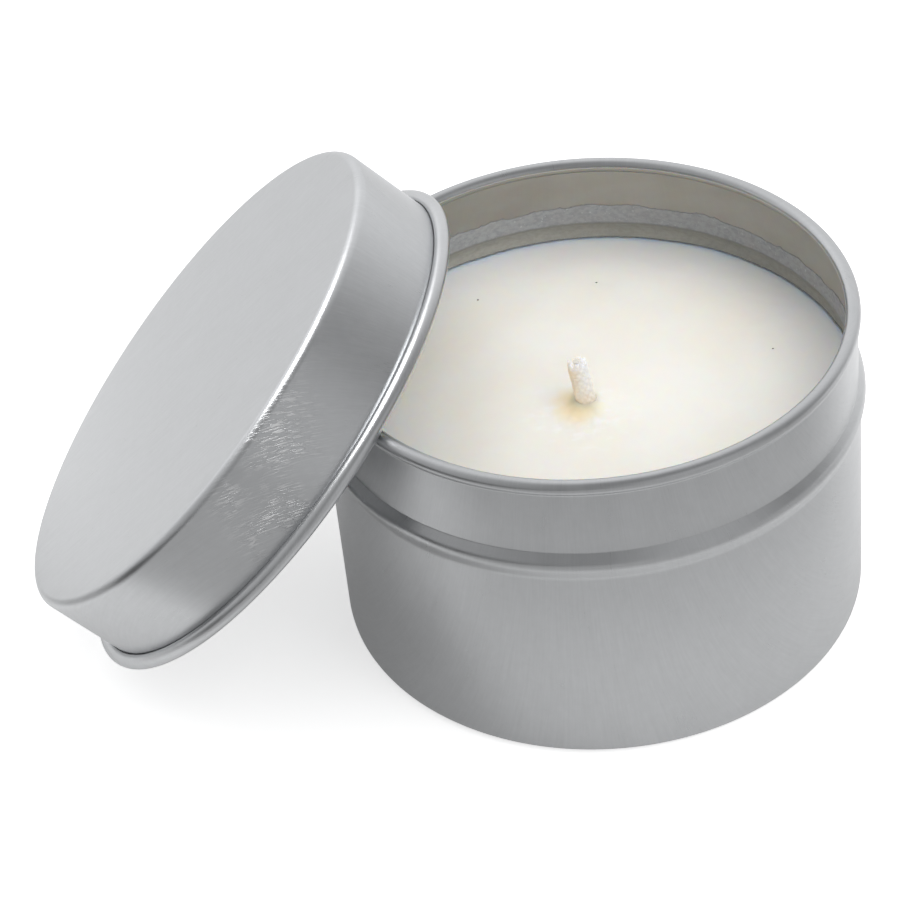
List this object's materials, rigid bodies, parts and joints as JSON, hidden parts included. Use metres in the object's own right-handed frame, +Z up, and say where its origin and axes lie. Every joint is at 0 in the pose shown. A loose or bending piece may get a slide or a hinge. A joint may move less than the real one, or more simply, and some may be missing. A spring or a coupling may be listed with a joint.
{
  "type": "candle tin",
  "caption": "Round seamless tin with a poured wax candle and wick, and a slip lid that leans on the rolled rim and swings up level above it.",
  "frame": {"origin": "centre of the tin's flat base, where it stands on the table", "axes": "+Z up along the tin's axis; the lid leans on the rim on the -X side"},
  "size_m": [0.122, 0.081, 0.066],
  "materials": {
    "tinplate": "matt brushed tinplate with a clear lacquer",
    "lid_tinplate": "matt brushed tinplate with a clear lacquer, grain running straight across the panel",
    "wax": "ivory candle wax, satin, slightly mottled",
    "wax_film": "thin translucent wax film on tinplate",
    "cotton": "braided cotton soaked with wax",
    "paper": "twisted paper",
    "sustainer_steel": "pressed tin-plated steel",
    "foam_tape": "white foam adhesive pad"
  },
  "bodies": {
    "tin": {"tin_body": "tinplate", "wax_fill": "wax", "wax_film": "wax_film", "wick_braid": "cotton", "wick_core": "paper", "wick_sustainer": "sustainer_steel", "wick_sticker": "foam_tape"},
    "lid": {"lid": "lid_tinplate"}
  },
  "joints": [
    {"name": "lid_swing", "type": "hinge", "parent": "tin", "child": "lid", "pos_m": [0.00194, 0, -0.01606], "axis": [0, 1, 0], "range_deg": [0, 45.5]}
  ]
}
